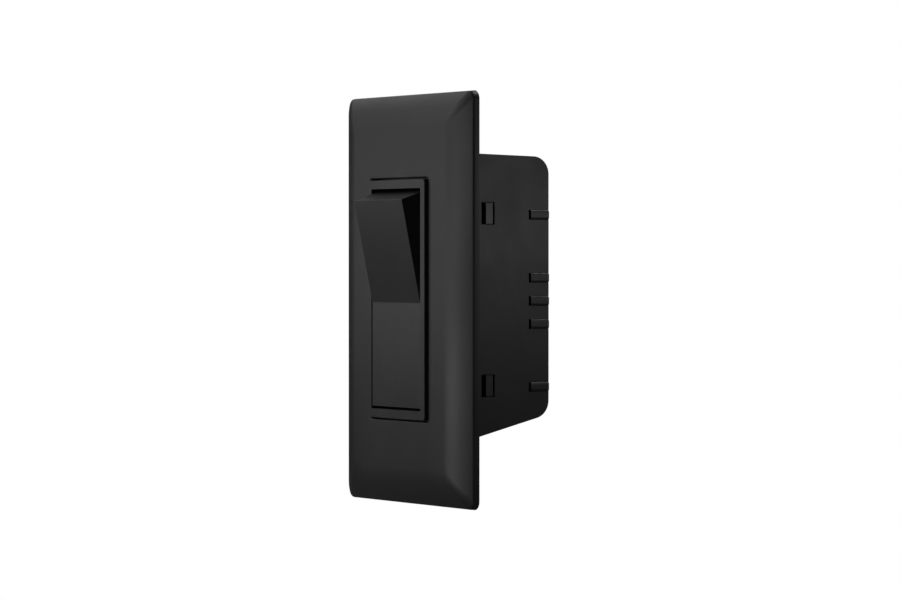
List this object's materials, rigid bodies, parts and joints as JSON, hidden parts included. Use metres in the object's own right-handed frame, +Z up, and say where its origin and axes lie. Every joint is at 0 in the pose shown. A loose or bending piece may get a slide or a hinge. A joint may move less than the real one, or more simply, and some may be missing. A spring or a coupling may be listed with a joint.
{
  "type": "rocker wall switch",
  "caption": "Self-contained rocker wall switch with a bevelled screwless plate, a raised frame, and a wiring box behind that clamps itself to the wall panel.",
  "frame": {"origin": "centre of the cover plate on the wall's face, which is the plane Y = 0", "axes": "+Z up along the plate, +Y into the wall, +X to the right as seen from the room"},
  "size_m": [0.0698, 0.0442, 0.1142],
  "materials": {
    "plate": "black moulded thermoplastic, fine satin texture",
    "frame": "black moulded thermoplastic, fine satin texture",
    "rocker": "black moulded thermoplastic, smooth satin",
    "housing": "black moulded thermoplastic, slightly uneven sheen",
    "cover": "black moulded thermoplastic, slightly uneven sheen",
    "insulator": "dark grey heat-resisting plastic",
    "brass": "stamped brass strip",
    "copper": "stamped copper alloy strip",
    "contact_silver": "silver alloy contact rivet",
    "spring_steel": "drawn spring wire",
    "zinc_steel": "zinc-plated steel",
    "fibre": "red-brown vulcanised fibre"
  },
  "bodies": {
    "switch_body": {"wall_plate": "plate", "switch_frame": "frame", "rear_housing": "housing", "rear_cover": "cover", "switch_base": "insulator", "line_terminal": "brass", "load_terminal": "brass", "ground_terminal": "brass", "fixed_contact": "contact_silver", "base_screw_top": "zinc_steel", "base_screw_bottom": "zinc_steel", "screw_retainer_top": "fibre", "screw_retainer_bottom": "fibre"},
    "rocker_body": {"rocker": "rocker", "plunger": "insulator", "plunger_spring": "spring_steel"},
    "contact_bar_body": {"contact_bar": "copper", "moving_contact": "contact_silver"},
    "screw_top": {"mounting_screw_top": "zinc_steel"},
    "screw_bottom": {"mounting_screw_bottom": "zinc_steel"},
    "insert_top": {"clamp_insert_top": "brass"},
    "insert_bottom": {"clamp_insert_bottom": "brass"},
    "wing_top": {"clamp_wing_top": "zinc_steel"},
    "wing_bottom": {"clamp_wing_bottom": "zinc_steel"}
  },
  "joints": [
    {"name": "rocker_tilt", "type": "hinge", "parent": "switch_body", "child": "rocker_body", "pos_m": [0, 0.0027, 0], "axis": [-1, 0, 0], "range_deg": [0, 11.7]},
    {"name": "contact_bar_tilt", "type": "hinge", "parent": "switch_body", "child": "contact_bar_body", "pos_m": [0, 0.0156, 0], "axis": [1, 0, 0], "range_deg": [0, 12]},
    {"name": "screw_top_turn", "type": "hinge", "parent": "switch_body", "child": "screw_top", "pos_m": [0, 0, 0.037], "axis": [0, 1, 0], "range_deg": [0, 2880]},
    {"name": "insert_top_draw", "type": "slide", "parent": "switch_body", "child": "insert_top", "axis": [0, -1, 0], "range_m": [0, 0.00635]},
    {"name": "wing_top_swing", "type": "hinge", "parent": "insert_top", "child": "wing_top", "pos_m": [0, 0.0112, 0.037], "axis": [0, 1, 0], "range_deg": [0, 90]},
    {"name": "screw_bottom_turn", "type": "hinge", "parent": "switch_body", "child": "screw_bottom", "pos_m": [0, 0, -0.037], "axis": [0, 1, 0], "range_deg": [0, 2880]},
    {"name": "insert_bottom_draw", "type": "slide", "parent": "switch_body", "child": "insert_bottom", "axis": [0, -1, 0], "range_m": [0, 0.00635]},
    {"name": "wing_bottom_swing", "type": "hinge", "parent": "insert_bottom", "child": "wing_bottom", "pos_m": [0, 0.0112, -0.037], "axis": [0, 1, 0], "range_deg": [0, 90]}
  ],
  "couplings": [
    {"joint": "contact_bar_tilt", "follows": "rocker_tilt", "ratio": 1.0256},
    {"joint": "screw_top_turn", "follows": "insert_top_draw", "rad_per_m": 7915.8},
    {"joint": "screw_bottom_turn", "follows": "insert_bottom_draw", "rad_per_m": 7915.8}
  ]
}
